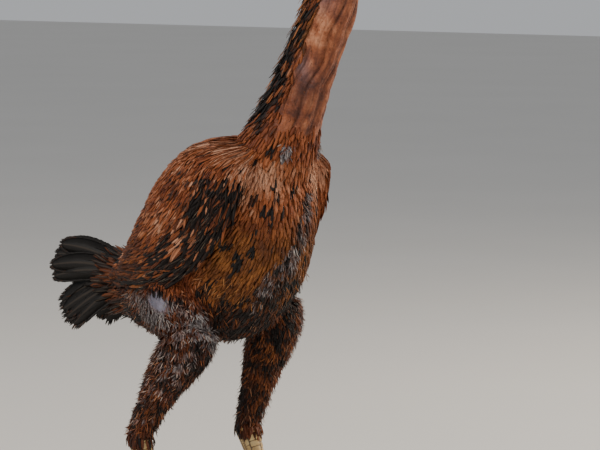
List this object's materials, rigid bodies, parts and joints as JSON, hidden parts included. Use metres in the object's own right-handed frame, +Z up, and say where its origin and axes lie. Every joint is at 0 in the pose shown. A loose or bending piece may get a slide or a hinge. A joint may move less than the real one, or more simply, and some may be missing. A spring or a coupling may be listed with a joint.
{
  "type": "australian pit game chicken",
  "caption": "Tall standing game fowl with an upright half-bare neck, folded wings, short ragged tail and long feathered thighs, as a still display model.",
  "frame": {"origin": "on the floor, at the middle of the bird's box in X and Y", "axes": "+X towards the beak, +Y towards the bird's left, +Z up"},
  "size_m": [0.4378, 0.2084, 0.6432],
  "materials": {
    "plumage": "copper-red body feathers with dark spots, over bare copper skin on the neck",
    "wing_feathers": "copper-red wing feathers with dark shafts and a black band",
    "leg_feathers": "short black-brown feathers mottled with copper",
    "dark_feathers": "black feathers with a slight green sheen",
    "bare_skin": "bare red facial skin, matt and finely wrinkled",
    "comb_skin": "red comb and wattle skin, finely grained",
    "horn": "smooth horn, darker at the base",
    "claw": "smooth dark horn",
    "scales": "dry yellow-brown leg scales",
    "eye": "wet amber-pearl eye with a black pupil"
  },
  "bodies": {
    "root": {"beak_lower": "horn", "beak_upper": "horn", "claw_hind_left": "claw", "claw_hind_right": "claw", "claw_inner_left": "claw", "claw_inner_right": "claw", "claw_middle_left": "claw", "claw_middle_right": "claw", "claw_outer_left": "claw", "claw_outer_right": "claw", "comb": "comb_skin", "drumstick_left": "leg_feathers", "drumstick_right": "leg_feathers", "eye_left": "eye", "eye_right": "eye", "foot_left": "scales", "foot_right": "scales", "head": "bare_skin", "neck": "plumage", "shank_left": "scales", "shank_right": "scales", "spur_left": "horn", "spur_right": "horn", "tail": "dark_feathers", "thigh_left": "leg_feathers", "thigh_right": "leg_feathers", "torso": "plumage", "wattle_left": "comb_skin", "wattle_right": "comb_skin", "wing_left": "wing_feathers", "wing_right": "wing_feathers"}
  },
  "joints": []
}
